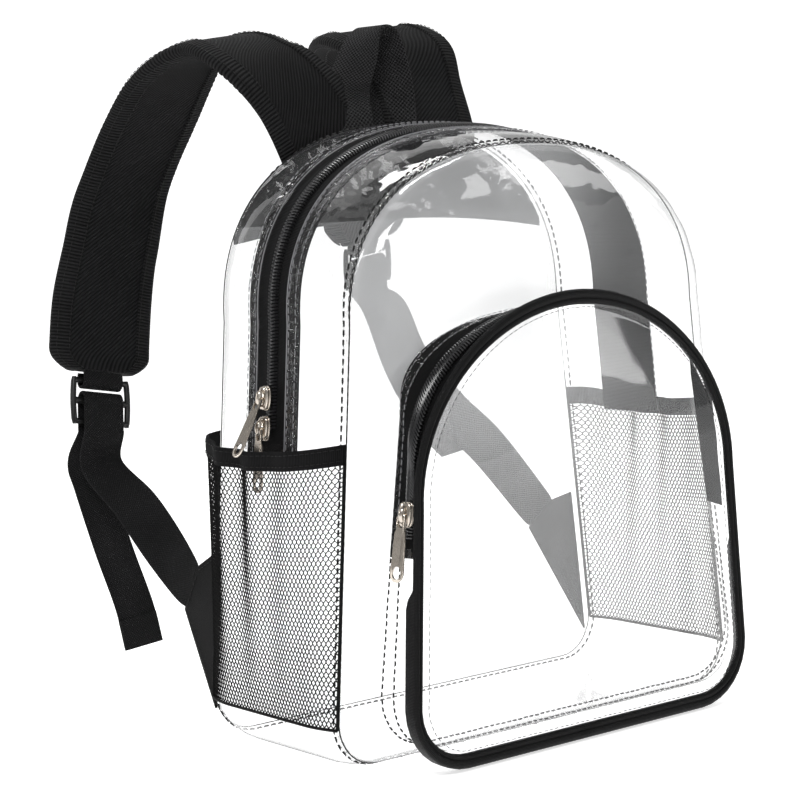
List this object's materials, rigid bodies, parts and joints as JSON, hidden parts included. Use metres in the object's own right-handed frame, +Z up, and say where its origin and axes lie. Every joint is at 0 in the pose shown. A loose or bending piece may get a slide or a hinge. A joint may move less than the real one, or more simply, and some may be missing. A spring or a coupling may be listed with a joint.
{
  "type": "clear stadium backpack",
  "caption": "Clear film backpack with an arched zip, a front pocket, net side pockets, a webbing handle and two padded shoulder straps.",
  "frame": {"origin": "middle of the flat bottom between the two side seams and the front and back seams, on the surface that the bag stands on", "axes": "+Z up, -Y out of the front pocket, +X to the right seen from the front"},
  "size_m": [0.2958, 0.3426, 0.377],
  "materials": {
    "clear_film": "crystal clear flexible vinyl film, glossy",
    "black_cloth": "black woven polyester, matt",
    "black_webbing": "black ribbed webbing, matt",
    "black_padding": "black woven cloth over foam, matt",
    "black_net": "black knitted net",
    "zip_tape": "black zip tape and coil",
    "piping": "black binding, slight sheen",
    "black_plastic": "black moulded plastic, satin",
    "nickel": "nickel plated, polished"
  },
  "bodies": {
    "bag": {"front_panel": "clear_film", "back_panel": "clear_film", "lower_gusset": "clear_film", "gusset_front_strip": "clear_film", "gusset_back_strip": "clear_film", "pocket_face": "clear_film", "pocket_lower_gusset": "clear_film", "pocket_arch_strip": "clear_film", "main_zip_tape": "zip_tape", "main_zip_coil": "zip_tape", "pocket_zip_tape": "zip_tape", "pocket_zip_coil": "zip_tape", "pocket_piping": "piping", "net_pocket_left": "black_net", "net_pocket_right": "black_net", "net_band_left": "black_cloth", "net_band_right": "black_cloth", "back_yoke": "black_cloth", "anchor_tab_left": "black_cloth", "anchor_tab_right": "black_cloth", "carry_handle": "black_webbing", "keeper_loop_left": "black_webbing", "keeper_loop_right": "black_webbing", "adjusting_webbing_left": "black_webbing", "adjusting_webbing_right": "black_webbing", "shoulder_strap_left": "black_padding", "shoulder_strap_right": "black_padding", "ladder_lock_left": "black_plastic", "ladder_lock_right": "black_plastic", "main_slider_upper": "nickel", "main_slider_lower": "nickel", "pocket_slider": "nickel"},
    "pull_main_upper": {"main_pull_upper": "nickel"},
    "pull_main_lower": {"main_pull_lower": "nickel"},
    "pull_pocket": {"pocket_pull": "nickel"}
  },
  "joints": [
    {"name": "main_pull_upper_hinge", "type": "hinge", "parent": "bag", "child": "pull_main_upper", "pos_m": [-0.13126, 0.004, 0.18267], "axis": [0, 1, 0], "range_deg": [0, 115]},
    {"name": "main_pull_lower_hinge", "type": "hinge", "parent": "bag", "child": "pull_main_lower", "pos_m": [-0.13259, 0.004, 0.16767], "axis": [0, 1, 0], "range_deg": [0, 7]},
    {"name": "pocket_pull_hinge", "type": "hinge", "parent": "bag", "child": "pull_pocket", "pos_m": [-0.11175, -0.08116, 0.12944], "axis": [-0.2757, 0.9606, 0.0359], "range_deg": [0, 130]}
  ]
}
